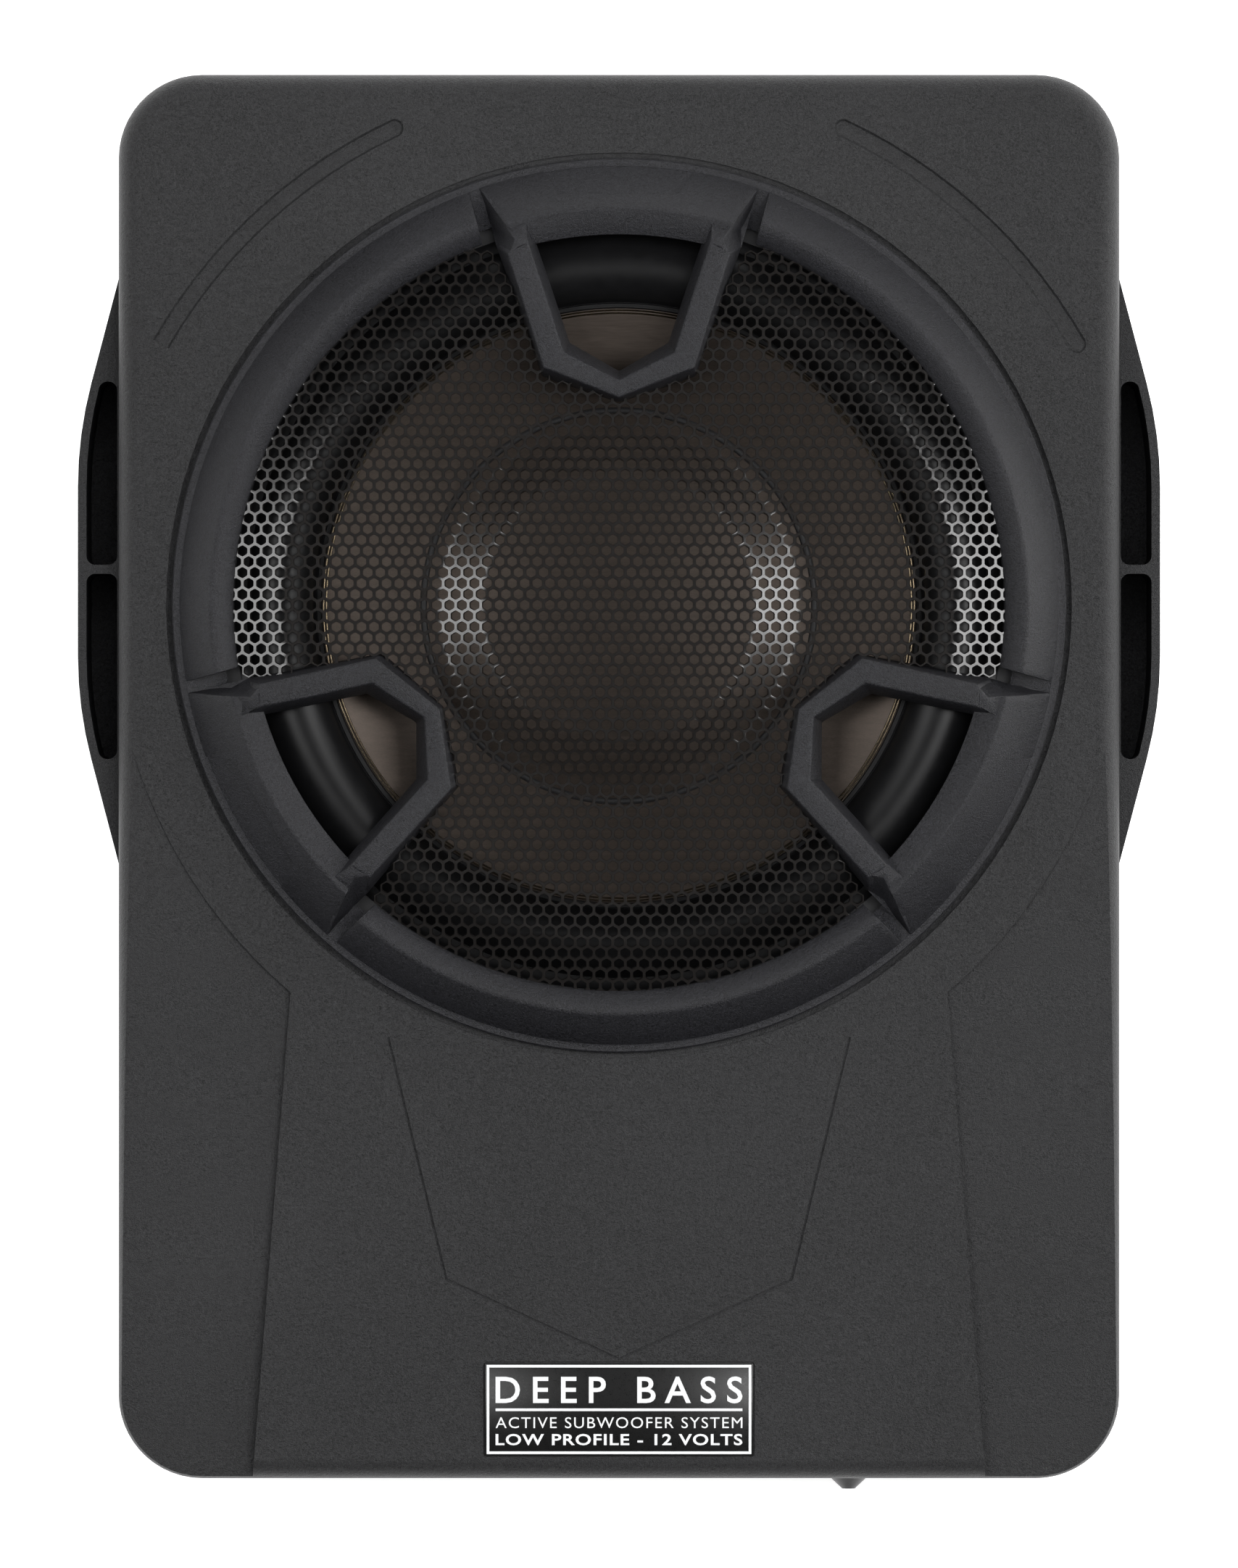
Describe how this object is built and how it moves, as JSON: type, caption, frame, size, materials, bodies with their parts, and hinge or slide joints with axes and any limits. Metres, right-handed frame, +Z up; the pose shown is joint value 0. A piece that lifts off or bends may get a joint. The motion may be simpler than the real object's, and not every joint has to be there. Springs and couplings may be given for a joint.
{
  "type": "powered car subwoofer",
  "caption": "Flat powered car subwoofer with a stepped round grille, open V-shaped struts, side wings and a recessed plug panel.",
  "frame": {"origin": "under the middle of the whole object's bounding box, on the surface that the feet stand on", "axes": "+Z up through the grille, +Y towards the driver end, away from the plug panel, +X to the right seen from above"},
  "size_m": [0.2664, 0.3486, 0.0728],
  "materials": {
    "case_black": "fine-grained satin black powder coat",
    "base_steel": "satin black",
    "trim_black": "satin moulded",
    "grille_black": "semi-gloss black",
    "badge_metal": "etched, black filled",
    "foot_rubber": "matt",
    "surround_rubber": "semi-gloss",
    "cone_metal": "brushed, warm tint",
    "gold_ring": "polished",
    "bare_steel": "zinc plated",
    "basket_black": "satin black",
    "ferrite": "matt grey",
    "former_foil": "thin foil",
    "copper": "enamelled wire",
    "spider_cloth": "resin-dipped cloth",
    "gasket_foam": "matt foam",
    "circuit_board": "solder mask",
    "black_moulding": "moulded",
    "capacitor_sleeve": "shrink sleeve",
    "bare_aluminium": "extruded",
    "panel_black": "satin black, printed",
    "knob_black": "satin",
    "white_nylon": "moulded",
    "red_insulator": "moulded",
    "jack_gold": "plated",
    "fuse_blue": "translucent",
    "led_lens": "clear tinted",
    "lead_sleeve": "insulated wire"
  },
  "bodies": {
    "cabinet": {"top_case": "case_black", "base_plate": "base_steel", "side_wing_left": "case_black", "side_wing_right": "case_black", "wing_screws": "bare_steel", "base_screws": "bare_steel", "rivet_nuts": "bare_steel", "rubber_feet": "foot_rubber", "trim_ring": "trim_black", "grille_struts": "trim_black", "trim_screws": "bare_steel", "grille_mesh": "grille_black", "badge": "badge_metal", "driver_basket": "basket_black", "driver_gasket": "gasket_foam", "driver_screws": "bare_steel", "surround": "surround_rubber", "spider": "spider_cloth", "magnet": "ferrite", "front_plate": "bare_steel", "yoke": "bare_steel", "driver_terminal": "black_moulding", "speaker_leads": "lead_sleeve", "amp_board": "circuit_board", "board_standoffs": "bare_steel", "board_screws": "bare_steel", "toroid": "copper", "capacitors": "capacitor_sleeve", "power_transistors": "black_moulding", "transistor_clamp": "bare_steel", "heat_sink": "bare_aluminium", "control_panel": "panel_black", "panel_screws": "bare_steel", "level_pot": "bare_steel", "trimmer_bodies": "bare_steel", "phase_switch": "bare_steel", "rca_shells": "jack_gold", "rca_insulators": "red_insulator", "high_level_socket": "white_nylon", "remote_port": "black_moulding", "power_terminal": "black_moulding", "terminal_screws": "bare_steel", "fuse_holder": "black_moulding", "fuses": "fuse_blue", "power_led": "led_lens"},
    "cone_assembly": {"cone": "cone_metal", "edge_ring": "gold_ring", "dust_cap": "cone_metal", "coil_former": "former_foil", "voice_coil": "copper"},
    "level_control": {"level_shaft": "bare_steel", "level_knob": "knob_black"},
    "crossover_control": {"crossover_trimmer": "white_nylon"},
    "boost_control": {"boost_trimmer": "white_nylon"},
    "phase_control": {"phase_slider": "white_nylon"}
  },
  "joints": [
    {"name": "cone_travel", "type": "slide", "parent": "cabinet", "child": "cone_assembly", "axis": [0, 0, 1], "range_m": [-0.004, 0.004], "stiffness_N_per_m": 3000, "deforming": ["surround", "spider"]},
    {"name": "level_turn", "type": "hinge", "parent": "cabinet", "child": "level_control", "pos_m": [0.0568, -0.15865, 0.0275], "axis": [0, -1, 0], "range_deg": [-140, 140]},
    {"name": "crossover_turn", "type": "hinge", "parent": "cabinet", "child": "crossover_control", "pos_m": [0.075, -0.15865, 0.0345], "axis": [0, -1, 0], "range_deg": [-140, 140]},
    {"name": "boost_turn", "type": "hinge", "parent": "cabinet", "child": "boost_control", "pos_m": [0.091, -0.15865, 0.0345], "axis": [0, -1, 0], "range_deg": [-140, 140]},
    {"name": "phase_slide", "type": "slide", "parent": "cabinet", "child": "phase_control", "axis": [1, 0, 0], "range_m": [0, 0.0056]}
  ]
}
